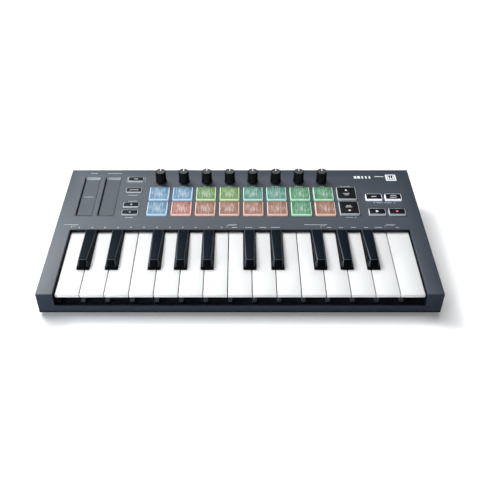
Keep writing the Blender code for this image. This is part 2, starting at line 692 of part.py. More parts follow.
# ---- the sockets ----
def add_sockets():
    """Add the main board at the rear and its three sockets."""
    low = MAIN_BOARD_TOP + GAP
    face = REAR_Y - 0.0006

    def plate(bm):
        block(bm, (-0.070, REAR_Y - 0.050, MAIN_BOARD_TOP - BOARD),
              (0.064, REAR_Y - PANEL - 0.0008, MAIN_BOARD_TOP))

    add("main_board", mesh_from("main_board", plate), BOARD_RESIN)

    def usb_shell(bm):
        x = SOCKET_X["usb"]
        block(bm, (x - 0.0060, face - 0.0160, low), (x + 0.0060, face, low + 0.0112))

    def usb_cavity(bm):
        x = SOCKET_X["usb"]
        block(bm, (x - 0.0043, face - 0.0090, low + 0.0016), (x + 0.0043, face + 0.001, low + 0.0096))

    def usb_tongue(bm):
        x = SOCKET_X["usb"]
        block(bm, (x - 0.0028, face - 0.0095, low + 0.0040), (x + 0.0028, face - 0.0010, low + 0.0072))

    usb = add("usb_socket", mesh_from("usb_socket", usb_shell), SOCKET_METAL)
    carve(usb, [usb_cavity])
    carve(usb, [usb_tongue], "UNION")

    for name, z, size, nose, bore in (("midi", 0.0140, (0.0036, 0.0120, 0.0044), 0.0028, 0.0018),
                                      ("sustain", 0.0160, (0.0078, 0.0240, 0.0064), 0.0049, 0.0033)):
        x = SOCKET_X[name]
        half, depth, rise = size

        def housing(bm):
            back = REAR_Y - PANEL - GAP
            block(bm, (x - half, back - depth, low), (x + half, back, z + rise))

        def collar(bm):
            barrel(bm, x, nose, REAR_Y - PANEL - 0.0010, face, z, 24)

        def hole(bm):
            barrel(bm, x, bore, REAR_Y - depth + 0.0005, REAR_Y + 0.001, z, 20)

        socket = add(f"{name}_socket", mesh_from(f"{name}_socket", housing), SOCKET_PLASTIC)
        carve(socket, [collar], "UNION")
        carve(socket, [hole])


def main():
    for thing in list(bpy.data.objects):
        bpy.data.objects.remove(thing)
    deck = add_deck()
    add_top_case()
    add_bottom_case()
    add_feet()
    add_keys(deck)
    add_key_chassis(deck)
    add_key_contacts(deck)
    add_pad_mat(deck)
    add_touch_strips(deck)
    add_buttons(deck)
    add_knobs(deck)
    add_control_board(deck)
    add_sockets()


main()
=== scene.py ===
"""The looks of a compact MIDI keyboard controller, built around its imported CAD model."""

import json
import math

import bmesh
import bpy
from mathutils import Matrix, Vector


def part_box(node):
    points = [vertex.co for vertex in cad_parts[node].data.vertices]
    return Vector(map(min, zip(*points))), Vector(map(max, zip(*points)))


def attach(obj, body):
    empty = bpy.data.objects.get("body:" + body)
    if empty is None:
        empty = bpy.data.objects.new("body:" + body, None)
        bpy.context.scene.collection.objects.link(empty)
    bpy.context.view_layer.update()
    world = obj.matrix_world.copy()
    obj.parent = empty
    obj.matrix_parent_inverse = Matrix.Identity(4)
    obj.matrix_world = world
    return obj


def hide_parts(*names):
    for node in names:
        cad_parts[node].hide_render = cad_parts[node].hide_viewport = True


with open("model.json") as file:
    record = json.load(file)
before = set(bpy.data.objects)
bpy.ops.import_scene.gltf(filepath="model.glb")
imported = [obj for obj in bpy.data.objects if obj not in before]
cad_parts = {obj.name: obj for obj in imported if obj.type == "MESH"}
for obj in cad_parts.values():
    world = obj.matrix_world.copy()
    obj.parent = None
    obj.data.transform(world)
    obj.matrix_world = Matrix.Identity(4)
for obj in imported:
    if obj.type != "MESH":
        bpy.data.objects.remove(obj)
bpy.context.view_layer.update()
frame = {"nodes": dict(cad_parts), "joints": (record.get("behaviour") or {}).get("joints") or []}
JOINTS = {joint["name"]: joint for joint in frame["joints"]}
CASE = "case"

# ---- deck coordinates: x along the case, s rearwards along the sloping deck, n square to it ----
# They start in the middle of the deck's front edge. One knob's axis gives the slope.
NORMAL = Vector(JOINTS["knob_1_turn"]["axis"]).normalized()
TILT = math.atan2(-NORMAL.y, NORMAL.z)
CASE_LOW, CASE_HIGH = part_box("top_case")
KNOB_FOOT = Vector(JOINTS["knob_1_turn"]["pos_m"])
FRONT_Y = CASE_LOW.y
FRONT_Z = KNOB_FOOT.z - (KNOB_FOOT.y - FRONT_Y) * math.tan(TILT)
DECK = Matrix.Translation((0, FRONT_Y, FRONT_Z)) @ Matrix.Rotation(TILT, 4, "X")
TO_DECK = DECK.inverted()
HALF_WIDTH = CASE_HIGH.x
CASE_SPLIT = CASE_LOW.z


def deck_box(name):
    """Return a CAD node's lowest and highest corners in deck coordinates."""
    points = [TO_DECK @ vert.co for vert in frame["nodes"][name].data.vertices]
    low = Vector([min(p[i] for p in points) for i in range(3)])
    high = Vector([max(p[i] for p in points) for i in range(3)])
    return low, high


def deck_to_world(s, n):
    """Return the (y, z) of the deck point s, n."""
    point = DECK @ Vector((0, s, n))
    return point.y, point.z


# ---- sizes that the frame doesn't state, in metres ----
MM = 0.001
WALL = 2.2 * MM
RIM = 0.35 * MM               # rounding of the openings' rims
EDGE = 0.35 * MM              # rounding of the case's outer edges
PAD_WIDTH, PAD_DEPTH = 18.4 * MM, 19.2 * MM
PAD_TOP = 1.7 * MM
INK = 0.04 * MM               # how far the printed marks stand above a surface
STRIP_OPENING = (14.3 * MM, 59.3 * MM)
STRIP_WALL = 0.55 * MM        # how far the strips' side walls slope in
STRIP_RAMP = 2.4 * MM         # the longer slope at each strip's rear end
KNOBS = [f"knob_{i + 1}" for i in range(8)]
KNOB_X = [JOINTS[f"{name}_turn"]["pos_m"][0] for name in KNOBS]
KNOB_S = (TO_DECK @ KNOB_FOOT).y
MAT_LOW, MAT_HIGH = deck_box("pad_mat")
PAD_MARGIN = PAD_DEPTH / 2 + 1.5 * MM     # from the pad sheet's edge to a pad's centre
PAD_ROWS = {"front": MAT_LOW.y + PAD_MARGIN, "rear": MAT_HIGH.y - PAD_MARGIN}
BUTTONS = [name for name in frame["nodes"] if name.endswith("_button")]
BUTTON_FLANGE = 0.8 * MM      # how far the flange below a button's cap reaches past it
STRIPS = ("pitch_strip", "modulation_strip")
STRIP_LOW, STRIP_HIGH = zip(*(deck_box(name) for name in STRIPS))
STRIP_X = [(low.x + high.x) / 2 for low, high in zip(STRIP_LOW, STRIP_HIGH)]
STRIP_S = (STRIP_LOW[0].y + STRIP_HIGH[0].y) / 2
STRIP_FLOOR = -1.85 * MM      # just below the strips' own tops
BAY_HALF = deck_box("key_chassis")[1].x + 0.7 * MM     # half the width of the keys' opening
BAY_BACK = 80.8 * MM          # the deck's edge behind the keys
RAIL_TOP = -13.0 * MM         # the rail below the keys' front faces
RAIL_BACK = 2.0 * MM
LIP_BOTTOM = -2.9 * MM        # underside of the deck's edge above the keys
CHEEK_WALL = 1.8 * MM         # the walls between the keys and the blocks beside them
STOP_DEPTH = 11 * MM          # the chassis's front stops lie within this distance of the case's front edge
STOP_PAINTED_LIGHT_Z = 10 * MM         # height above which the stops' tips are painted paler, as painted light from the key gaps
FOOT_TOP = -0.9 * MM          # the ledge at the top of a black key's foot
CUT_LOW = -6 * MM             # where the deck's cutters start, well below its wall
BELOW_SPLIT = CASE_SPLIT - 2 * MM
LOCK_SLOT = (118 * MM, 15.6 * MM)
CORNER_STEPS = 5              # parts of each round corner of an outline
EDGE_STEPS = 4                # parts of each rounded rim or edge


# ---- node helpers ----
def new_material(name):
    """Return a new material with its tree and its Principled shader."""
    made = bpy.data.materials.new(name)
    made.use_nodes = True
    return made, made.node_tree, made.node_tree.nodes["Principled BSDF"]


def node(tree, kind, inputs=None, **settings):
    """Add a shader node, with settings and with values for its inputs."""
    made = tree.nodes.new(kind)
    for key, value in settings.items():
        setattr(made, key, value)
    for key, value in (inputs or {}).items():
        made.inputs[key].default_value = value
    return made


def colour(r, g, b):
    """Turn a display colour from 0 to 255 into linear light."""
    def linear(v):
        v /= 255
        return v / 12.92 if v <= 0.04045 else ((v + 0.055) / 1.055) ** 2.4
    return (linear(r), linear(g), linear(b), 1.0)


def noise(tree, scale, detail=2.0, roughness=0.5, stretch=(1, 1, 1), turn=0.0):
    """Add a noise texture in the object's own coordinates and return its factor output."""
    where = node(tree, "ShaderNodeTexCoord")
    mapping = node(tree, "ShaderNodeMapping", {"Scale": stretch, "Rotation": (0, 0, turn)})
    texture = node(tree, "ShaderNodeTexNoise", {"Scale": scale, "Detail": detail, "Roughness": roughness})
    tree.links.new(where.outputs["Object"], mapping.inputs["Vector"])
    tree.links.new(mapping.outputs["Vector"], texture.inputs["Vector"])
    return texture.outputs["Fac"]


def ramp(tree, source, stops):
    """Map a factor through (position, colour) stops and return the colour output."""
    made = node(tree, "ShaderNodeValToRGB")
    elements = made.color_ramp.elements
    for element, (position, value) in zip(elements, (stops[0], stops[-1])):
        element.position, element.color = position, value
    for position, value in stops[1:-1]:
        elements.new(position).color = value
    tree.links.new(source, made.inputs["Fac"])
    return made.outputs["Color"]


def spread(tree, source, low, high):
    """Map a factor's middle range onto low to high and return the value output."""
    made = node(tree, "ShaderNodeMapRange", {"From Min": 0.3, "From Max": 0.7, "To Min": low, "To Max": high})
    tree.links.new(source, made.inputs["Value"])
    return made.outputs["Result"]


def add_bump(tree, shader, source, distance, strength):
    """Drive the shader's normal with a bump."""
    made = node(tree, "ShaderNodeBump", {"Distance": distance, "Strength": strength})
    tree.links.new(source, made.inputs["Height"])
    tree.links.new(made.outputs["Normal"], shader.inputs["Normal"])


def shade(value, factor):
    """Return a colour made darker or brighter by a factor."""
    return (value[0] * factor, value[1] * factor, value[2] * factor, 1.0)


def lighten(value, amount):
    """Return a colour moved part of the way to white."""
    return tuple(v + (1 - v) * amount for v in value[:3]) + (1.0,)


# ---- materials ----
def plastic(name, base, rough=(0.4, 0.5), grain=0.35 * MM, depth=0.02 * MM, vary=0.12, specular=0.5):
    """Moulded plastic: a fine spark-eroded grain, with slightly uneven colour and gloss."""
    made, tree, shader = new_material(name)
    patches = noise(tree, 18, 3)
    fine = noise(tree, 1 / grain, 3, 0.6)
    stops = [(0.3, shade(base, 1 - vary)), (0.7, shade(base, 1 + vary))]
    tree.links.new(ramp(tree, patches, stops), shader.inputs["Base Color"])
    tree.links.new(spread(tree, fine, *rough), shader.inputs["Roughness"])
    shader.inputs["Specular IOR Level"].default_value = specular
    add_bump(tree, shader, fine, depth, 0.5)
    return made


def chassis_plastic():
    """Dark glass-filled nylon, with painted light on the front stops: paler towards their tips, where light
    through the key gaps falls.
    """
    made, tree, shader = new_material("chassis_plastic")
    where = node(tree, "ShaderNodeTexCoord")
    split = node(tree, "ShaderNodeSeparateXYZ")
    near = node(tree, "ShaderNodeMath", {1: FRONT_Y + STOP_DEPTH}, operation="LESS_THAN")
    fade = 2.4 * MM
    high = node(tree, "ShaderNodeMapRange", {"From Min": STOP_PAINTED_LIGHT_Z, "From Max": STOP_PAINTED_LIGHT_Z + fade})
    both = node(tree, "ShaderNodeMath", operation="MULTIPLY")
    tint = node(tree, "ShaderNodeMixRGB")
    dark = ramp(tree, noise(tree, 30, 3), [(0.3, colour(20, 26, 33)), (0.7, colour(27, 34, 42))])
    # painted light: the paler colour of the stops' tips stands in for light falling through the key gaps
    pale = ramp(tree, noise(tree, 1400, 3), [(0.3, colour(80, 91, 102)), (0.7, colour(106, 117, 128))])
    tree.links.new(where.outputs["Object"], split.inputs["Vector"])
    tree.links.new(split.outputs["Y"], near.inputs[0])
    tree.links.new(split.outputs["Z"], high.inputs["Value"])
    tree.links.new(near.outputs[0], both.inputs[0])
    tree.links.new(high.outputs["Result"], both.inputs[1])
    tree.links.new(both.outputs[0], tint.inputs["Fac"])
    tree.links.new(dark, tint.inputs["Color1"])
    tree.links.new(pale, tint.inputs["Color2"])
    tree.links.new(tint.outputs["Color"], shader.inputs["Base Color"])
    tree.links.new(spread(tree, noise(tree, 900, 3), 0.5, 0.7), shader.inputs["Roughness"])
    return made


def white_key_plastic():
    """Smooth white key plastic with faint handling marks."""
    made, tree, shader = new_material("white_key_plastic")
    wear = noise(tree, 900, 3, 0.6, (1, 0.3, 1))
    broad = noise(tree, 12, 2)
    stops = [(0.25, colour(221, 221, 221)), (0.75, colour(224, 224, 223))]
    tree.links.new(ramp(tree, broad, stops), shader.inputs["Base Color"])
    tree.links.new(spread(tree, wear, 0.30, 0.36), shader.inputs["Roughness"])
    shader.inputs["Subsurface Weight"].default_value = 0.06
    shader.inputs["Subsurface Radius"].default_value = (0.002, 0.002, 0.0018)
    add_bump(tree, shader, wear, 0.002 * MM, 0.1)
    return made


def glowing_silicone(name, top, lean):
    """A pad's printed top: streaked, lit from behind, brightest in the middle."""
    streak_share, cloud_share, middle_share = 0.8, 0.2, 0.24
    made, tree, shader = new_material(name)
    streaks = noise(tree, 1300, 2, 0.6, (1, 0.09, 1), lean)
    clouds = node(tree, "ShaderNodeMath", {1: cloud_share}, operation="MULTIPLY")
    pattern = node(tree, "ShaderNodeMath", {1: streak_share}, operation="MULTIPLY_ADD")
    total = node(tree, "ShaderNodeMath", {1: middle_share}, operation="MULTIPLY_ADD")
    tree.links.new(noise(tree, 160, 2), clouds.inputs[0])
    tree.links.new(streaks, pattern.inputs[0])
    tree.links.new(clouds.outputs[0], pattern.inputs[2])
    tree.links.new(middle_glow(tree), total.inputs[0])
    tree.links.new(pattern.outputs[0], total.inputs[2])
    stops = [(0.36, shade(top, 0.52)), (0.60, top), (0.86, lighten(top, 0.4))]
    tint = ramp(tree, total.outputs[0], stops)
    tree.links.new(tint, shader.inputs["Base Color"])
    tree.links.new(tint, shader.inputs["Emission Color"])
    shader.inputs["Emission Strength"].default_value = 0.10
    tree.links.new(spread(tree, streaks, 0.40, 0.55), shader.inputs["Roughness"])
    shader.inputs["Specular IOR Level"].default_value = 0.2
    add_bump(tree, shader, streaks, 0.02 * MM, 0.2)
    return made


def middle_glow(tree):
    """Return a factor that is 1 at the piece's own origin and falls to 0 near a pad's edge."""
    where = node(tree, "ShaderNodeTexCoord")
    length = node(tree, "ShaderNodeVectorMath", operation="LENGTH")
    limits = {"From Min": 0.0, "From Max": PAD_DEPTH * 0.62, "To Min": 1.0, "To Max": 0.0}
    fade = node(tree, "ShaderNodeMapRange", limits)
    tree.links.new(where.outputs["Object"], length.inputs[0])
    tree.links.new(length.outputs["Value"], fade.inputs["Value"])
    return fade.outputs["Result"]


def light_skirt(name, base, glow, strength):
    """Translucent silicone that leaks light around a pad or button."""
    made, tree, shader = new_material(name)
    cloud = noise(tree, 220, 2)
    body = ramp(tree, cloud, [(0.3, shade(base, 0.9)), (0.7, base)])
    light = ramp(tree, cloud, [(0.3, shade(glow, 0.85)), (0.7, glow)])
    tree.links.new(body, shader.inputs["Base Color"])
    tree.links.new(light, shader.inputs["Emission Color"])
    shader.inputs["Emission Strength"].default_value = strength
    shader.inputs["Roughness"].default_value = 0.5
    shader.inputs["Subsurface Weight"].default_value = 0.1
    shader.inputs["Subsurface Radius"].default_value = (0.001, 0.001, 0.001)
    return made


def ink(name, value, glow=0.0):
    """Printed ink, very slightly uneven."""
    made, tree, shader = new_material(name)
    cloud = noise(tree, 1500, 2)
    tint = ramp(tree, cloud, [(0.3, shade(value, 0.88)), (0.7, value)])
    tree.links.new(tint, shader.inputs["Base Color"])
    shader.inputs["Roughness"].default_value = 0.5
    if glow:
        tree.links.new(tint, shader.inputs["Emission Color"])
        shader.inputs["Emission Strength"].default_value = glow
    return made


def rubber(name, base):
    """Matt rubber with a fine grain and dusty patches."""
    made, tree, shader = new_material(name)
    dust = noise(tree, 90, 4, 0.6)
    fine = noise(tree, 2600, 2)
    tree.links.new(ramp(tree, dust, [(0.35, base), (0.75, lighten(base, 0.05))]), shader.inputs["Base Color"])
    tree.links.new(spread(tree, fine, 0.7, 0.85), shader.inputs["Roughness"])
    shader.inputs["Specular IOR Level"].default_value = 0.35
    add_bump(tree, shader, fine, 0.03 * MM, 0.4)
    return made


def metal(name, base, rough=(0.22, 0.38)):
    """Plated sheet metal with fine rolling lines."""
    made, tree, shader = new_material(name)
    lines = noise(tree, 700, 3, 0.6, (0.15, 1, 1))
    tree.links.new(ramp(tree, lines, [(0.3, shade(base, 0.8)), (0.7, base)]), shader.inputs["Base Color"])
    tree.links.new(spread(tree, lines, *rough), shader.inputs["Roughness"])
    shader.inputs["Metallic"].default_value = 1.0
    add_bump(tree, shader, lines, 0.01 * MM, 0.2)
    return made


def circuit_board(name):
    """Green solder resist over copper tracks."""
    made, tree, shader = new_material(name)
    where = node(tree, "ShaderNodeTexCoord")
    tracks = node(tree, "ShaderNodeTexBrick", {
        "Scale": 260.0, "Mortar Size": 0.03, "Mortar": colour(52, 120, 62),
        "Color1": colour(14, 70, 38), "Color2": colour(18, 84, 46)})
    tree.links.new(where.outputs["Object"], tracks.inputs["Vector"])
    tree.links.new(tracks.outputs["Color"], shader.inputs["Base Color"])
    tree.links.new(spread(tree, noise(tree, 300, 2), 0.25, 0.4), shader.inputs["Roughness"])
    add_bump(tree, shader, tracks.outputs["Fac"], 0.03 * MM, 0.3)
    return made


CASE_PLASTIC = plastic("case_plastic", colour(42, 52, 64), (0.42, 0.52), vary=0.06, specular=0.47)
# painted shade: the key bay's inner walls and rail are painted near black, darker than the case, where they
# lie in shade
BAY_PAINTED_SHADE = plastic("bay_painted_shade", colour(16, 23, 30), (0.45, 0.55), specular=0.25)
# painted light: the strips' side walls are painted lighter than the case to soften their shade
GROOVE_PAINTED_LIGHT = plastic("groove_painted_light", colour(56, 65, 75), (0.45, 0.55), specular=0.2)
# painted highlight: the strips' rear slopes are painted pale grey in place of the light they reflect
RAMP_PAINTED_HIGHLIGHT = plastic("ramp_painted_highlight", colour(162, 170, 177), (0.25, 0.32), depth=0.005 * MM)
BASE_PLASTIC = plastic("base_plastic", colour(20, 24, 30), (0.5, 0.62))
STRIP_PLASTIC = plastic("strip_plastic", colour(47, 57, 68), (0.44, 0.52), grain=0.25 * MM, depth=0.01 * MM,
                        specular=0.38)
CHASSIS_PLASTIC_PAINTED_LIGHT = chassis_plastic()
WHITE_KEYS = white_key_plastic()
BLACK_KEYS = plastic("black_key_plastic", colour(13, 22, 30), (0.42, 0.5), grain=0.3 * MM, depth=0.006 * MM,
                     specular=0.03)
# painted shade: a darker, duller copy of the black key plastic on the keys' sides
BLACK_SIDES_PAINTED_SHADE = plastic("black_key_sides_painted_shade", colour(4, 6, 9), (0.5, 0.6), grain=0.3 * MM, depth=0.006 * MM,
                      specular=0.06)
# painted highlight: a paler copy of the black key plastic on the keys' narrow rounded edges
BLACK_EDGE_HIGHLIGHT = plastic("black_key_edges", colour(60, 68, 78), (0.3, 0.36), grain=0.3 * MM, depth=0.006 * MM)
CAP_BLACK = plastic("button_cap_black", colour(10, 14, 19), (0.36, 0.46), grain=0.25 * MM, depth=0.01 * MM,
                    specular=0.1)
KNOB_BLACK = plastic("knob_black", colour(2, 5, 9), (0.3, 0.4), grain=0.25 * MM, depth=0.006 * MM,
                     specular=0.2)
KNOB_FACE = plastic("knob_face", colour(30, 35, 40), (0.4, 0.5), grain=0.2 * MM, depth=0.01 * MM)
WHITE_INK = ink("white_ink", colour(235, 238, 242))
GREY_INK = ink("grey_ink", colour(180, 186, 192))
RED_GLOW = ink("red_glow", colour(214, 30, 62), glow=0.5)
PINK_INK = ink("pink_ink", colour(250, 190, 205), glow=0.5)
FOOT_RUBBER = rubber("foot_rubber", colour(24, 24, 25))
CONTACT_SILICONE = rubber("contact_silicone", colour(150, 152, 155))
SOCKET_METAL = metal("socket_metal", colour(205, 207, 210))
SCREW_METAL = metal("screw_metal", colour(60, 62, 66), (0.35, 0.5))
BOARD_RESIN = circuit_board("board_resin")
SOCKET_PLASTIC = plastic("socket_plastic", colour(20, 20, 22), (0.4, 0.55))


# ---- shapes ----
def rounded(x, y, width, depth, radius):
    """Return the outline of a rectangle with round corners."""
    points = []
    for corner, (sx, sy) in enumerate(((1, 1), (-1, 1), (-1, -1), (1, -1))):
        cx = x + sx * (width / 2 - radius)
        cy = y + sy * (depth / 2 - radius)
        for step in range(CORNER_STEPS + 1):
            angle = math.pi / 2 * (corner + step / CORNER_STEPS)
            points.append((cx + radius * math.cos(angle), cy + radius * math.sin(angle)))
    return points


def circle(x, y, radius, sides):
    """Return the outline of a circle."""
    angles = [2 * math.pi * i / sides for i in range(sides)]
    return [(x + radius * math.cos(a), y + radius * math.sin(a)) for a in angles]


def loft(bm, rings, slots=None):
    """Skin (outline, height) rings of equal length and cap both ends; slots gives each band's material."""
    slots = slots or [0] * len(rings)
    loops = [[bm.verts.new((px, py, height)) for px, py in outline] for outline, height in rings]
    bm.faces.new(loops[0][::-1]).material_index = slots[0]
    bm.faces.new(loops[-1]).material_index = slots[-1]
    for slot, lower, upper in zip(slots, loops, loops[1:]):
        for i, vert in enumerate(lower):
            j = (i + 1) % len(lower)
            bm.faces.new((vert, lower[j], upper[j], upper[i])).material_index = slot


def prism(bm, outline, low, high, axis="Z"):
    """Extrude a closed outline along Z, along X for (y, z) points, or along Y for (x, z) points.

    Return its faces.
    """
    def point(a, b, height):
        return {"X": (height, a, b), "Y": (a, height, b), "Z": (a, b, height)}[axis]

    bottom = [bm.verts.new(point(a, b, low)) for a, b in outline]
    top = [bm.verts.new(point(a, b, high)) for a, b in outline]
    faces = [bm.faces.new(bottom), bm.faces.new(top)]
    for i, vert in enumerate(bottom):
        j = (i + 1) % len(bottom)
        faces.append(bm.faces.new((vert, bottom[j], top[j], top[i])))
    bmesh.ops.recalc_face_normals(bm, faces=faces)
    return faces


def block(bm, low, high):
    """Add a box between two corners."""
    outline = [(low[0], low[1]), (high[0], low[1]), (high[0], high[1]), (low[0], high[1])]
    prism(bm, outline, low[2], high[2])


def flare(radius):
    """Yield (growth, height) pairs of a rounded rim, from its foot to the surface and past it."""
    for step in range(EDGE_STEPS + 1):
        angle = math.pi / 2 * step / EDGE_STEPS
        yield radius * (1 - math.cos(angle)), radius * (math.sin(angle) - 1)
    yield radius, 2 * MM


def fillet(radius, top):
    """Yield (inset, height) pairs of a rounded top edge."""
    for step in range(EDGE_STEPS + 1):
        angle = math.pi / 2 * step / EDGE_STEPS
        yield radius * (1 - math.cos(angle)), top - radius * (1 - math.sin(angle))


def rounded_cutter(bm, x, s, width, depth, radius, low, rim=RIM):
    """Add a cutter whose hole has a rounded rim at the deck's surface."""
    rings = [(rounded(x, s, width, depth, radius), low)]
    for grow, height in flare(rim):
        rings.append((rounded(x, s, width + 2 * grow, depth + 2 * grow, radius + grow), height))
    loft(bm, rings)


def rounded_block_rings(width, depth, radius, low, top, edge):
    """Return the rings of a block with a rounded top edge, about its own origin."""
    rings = [(rounded(0, 0, width, depth, radius), low)]
    for inset, height in fillet(edge, top):
        corner = max(radius - inset, 0.1 * MM)
        rings.append((rounded(0, 0, width - 2 * inset, depth - 2 * inset, corner), height))
    return rings


# ---- objects ----
def new_object(name, data):
    """Return a new object, linked to the scene."""
    made = bpy.data.objects.new(name, data)
    bpy.context.scene.collection.objects.link(made)
    return made


def dress(mesh, *materials):
    """Give a mesh these materials in place of its own. Its faces all take the first one."""
    mesh.materials.clear()
    for made in materials:
        mesh.materials.append(made)


def mesh_from(name, build, materials=()):
    """Return a mesh that build(bm) fills."""
    bm = bmesh.new()
    build(bm)
    mesh = bpy.data.meshes.new(name)
    bm.to_mesh(mesh)
    bm.free()
    for made in materials:
        mesh.materials.append(made)
    return mesh


def smooth(piece, angle=35):
    """Shade round surfaces smooth and keep the corners sharp."""
    piece.data.shade_smooth()
    piece.data.set_sharp_from_angle(angle=math.radians(angle))


def add_piece(name, mesh, body, place=None, node_names=()):
    """Add a piece in the frame, riding on a body, in place of the CAD nodes it stands for."""
    piece = new_object(name, mesh)
    piece.matrix_world = place or Matrix.Identity(4)
    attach(piece, body)
    if node_names:
        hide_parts(*node_names)
    return piece


def on_deck(x, s):
    """Return the matrix that stands a piece's own origin on a deck point."""
    return DECK @ Matrix.Translation((x, s, 0))


def carved(mesh, tools):
    """Return the mesh after each tool's body is cut from it."""
    for number, build in enumerate(tools):
        body = new_object("carve_body", mesh)
        tool_mesh = mesh_from(f"carve_tool_{number}", build)
        tool = new_object("carve_tool", tool_mesh)
        modifier = body.modifiers.new("boolean", "BOOLEAN")
        modifier.operation = "DIFFERENCE"
        modifier.solver = "EXACT"
        modifier.object = tool
        bpy.context.view_layer.update()
        depsgraph = bpy.context.evaluated_depsgraph_get()
        result = bpy.data.meshes.new_from_object(body.evaluated_get(depsgraph))
        result.name = mesh.name
        bpy.data.objects.remove(body)
        bpy.data.objects.remove(tool)
        bpy.data.meshes.remove(tool_mesh)
        mesh = result
    return mesh


def in_deck(build):
    """Return a builder whose bodies are given in deck coordinates."""
    def turned(bm):
        build(bm)
        bmesh.ops.transform(bm, matrix=DECK, verts=bm.verts)
    return turned


def softened(node_name, passes, materials):
    """Return a copy of a CAD node's mesh, in deck coordinates, with picked edges rounded.

    Each pass is (picked, width), where picked(edge) says whether an edge is rounded.
    """
    def sharp(edge):
        return len(edge.link_faces) == 2 and edge.calc_face_angle(0) > 0.3

    def build(bm):
        bm.from_mesh(frame["nodes"][node_name].data)
        bmesh.ops.transform(bm, matrix=TO_DECK, verts=bm.verts)
        bmesh.ops.remove_doubles(bm, verts=bm.verts, dist=0.001 * MM)
        bmesh.ops.dissolve_limit(bm, angle_limit=math.radians(0.8), verts=bm.verts, edges=bm.edges)
        for picked, width in passes:
            edges = [edge for edge in bm.edges if sharp(edge) and picked(edge)]
            bmesh.ops.bevel(bm, geom=edges, offset=width, segments=3, profile=0.5, affect="EDGES",
                            clamp_overlap=True)
    return mesh_from(node_name, build, materials)


# ---- the case ----
def case_block(bm):
    """Add the case's outer shape with rounded edges. Its front wall is square to the deck."""
    front_foot = FRONT_Y + (FRONT_Z - CASE_SPLIT) * math.tan(TILT)
    outline = [(FRONT_Y, FRONT_Z), (CASE_HIGH.y, CASE_HIGH.z), (CASE_HIGH.y, CASE_SPLIT),
               (front_foot, CASE_SPLIT)]
    prism(bm, outline, -HALF_WIDTH, HALF_WIDTH, "X")
    upper = [e for e in bm.edges if any(v.co.z > CASE_SPLIT + MM for v in e.verts)]
    bmesh.ops.bevel(bm, geom=upper, offset=EDGE, segments=4, profile=0.5, affect="EDGES")


def body_cavity(bm):
    """Add the hollow behind the keys, open at the bottom."""
    back = CASE_HIGH.y - WALL
    front_y, front_z = deck_to_world(BAY_BACK + 2 * MM, -WALL)
    back_z = front_z + (back - front_y) * math.tan(TILT)
    outline = [(front_y, BELOW_SPLIT), (back, BELOW_SPLIT), (back, back_z), (front_y, front_z)]
    prism(bm, outline, -HALF_WIDTH + WALL, HALF_WIDTH - WALL, "X")


def key_bay_top(bm):
    """Add the opening above the keys, with rounded rims, down to the rail and out through the front."""
    front = -6 * MM
    middle = (BAY_BACK + front) / 2
    rounded_cutter(bm, 0, middle, 2 * BAY_HALF, BAY_BACK - front, radius=0.5 * MM, low=RAIL_TOP, rim=0.5 * MM)


def key_bay_below(bm):
    """Add the space behind the rail and under the deck's edge, where the keys move."""
    inside, past = BAY_BACK - MM, BAY_BACK + 4 * MM
    rail_y, rail_z = deck_to_world(RAIL_BACK, RAIL_TOP - 0.01 * MM)
    outline = [(rail_y, BELOW_SPLIT), (deck_to_world(past, 0)[0], BELOW_SPLIT)]
    outline += [deck_to_world(s, n) for s, n in ((past, LIP_BOTTOM), (inside, LIP_BOTTOM),
                                                 (inside, RAIL_TOP + MM), (RAIL_BACK, RAIL_TOP + MM))]
    prism(bm, outline + [(rail_y, rail_z)], -BAY_HALF, BAY_HALF, "X")


def cheek_pocket(side):
    """Return a builder for the hollow inside one of the blocks beside the keys."""
    def build(bm):
        front = FRONT_Y + WALL + 2 * MM
        back_y, back_z = deck_to_world(BAY_BACK + 4 * MM, -WALL)
        front_z = deck_to_world(4 * MM, -WALL)[1]
        outline = [(front, BELOW_SPLIT), (back_y, BELOW_SPLIT), (back_y, back_z), (front, front_z)]
        ends = sorted((side * (BAY_HALF + CHEEK_WALL), side * (HALF_WIDTH - WALL)))
        prism(bm, outline, *ends, "X")
    return build


def button_size(name):
    """Return a button cap's centre, width and depth on the deck, and its height above it."""
    low, high = deck_box(name)
    centre = (low + high) / 2
    return centre.x, centre.y, high.x - low.x - 2 * BUTTON_FLANGE, high.y - low.y - 2 * BUTTON_FLANGE, high.z


def deck_openings(bm):
    """Add the cutters for the pads, buttons and knobs, each with a rounded rim."""
    clear = 0.6 * MM
    knob_hole = 3.4 * MM
    for x in KNOB_X:
        for s in PAD_ROWS.values():
            rounded_cutter(bm, x, s, PAD_WIDTH + clear, PAD_DEPTH + clear, radius=1.2 * MM, low=CUT_LOW)
        rings = [(circle(x, KNOB_S, knob_hole, 24), CUT_LOW)]
        rings += [(circle(x, KNOB_S, knob_hole + grow, 24), height) for grow, height in flare(RIM)]
        loft(bm, rings)
    for name in BUTTONS:
        x, s, width, depth, _ = button_size(name)
        rounded_cutter(bm, x, s, width + clear, depth + clear, radius=1.1 * MM, low=CUT_LOW)


def strip_recesses(bm):
    """Add the touch strips' recesses: steep side walls and a longer slope at the rear."""
    width, depth = STRIP_OPENING
    inner_s = STRIP_S + (STRIP_WALL - STRIP_RAMP) / 2
    for x in STRIP_X:
        inner = rounded(x, inner_s, width - 2 * STRIP_WALL, depth - STRIP_WALL - STRIP_RAMP, 0.5 * MM)
        rings = [(inner, CUT_LOW), (inner, STRIP_FLOOR)]
        rings += [(rounded(x, STRIP_S, width + 2 * grow, depth + 2 * grow, 0.9 * MM + grow), height)
                  for grow, height in flare(0.25 * MM)]
        loft(bm, rings)


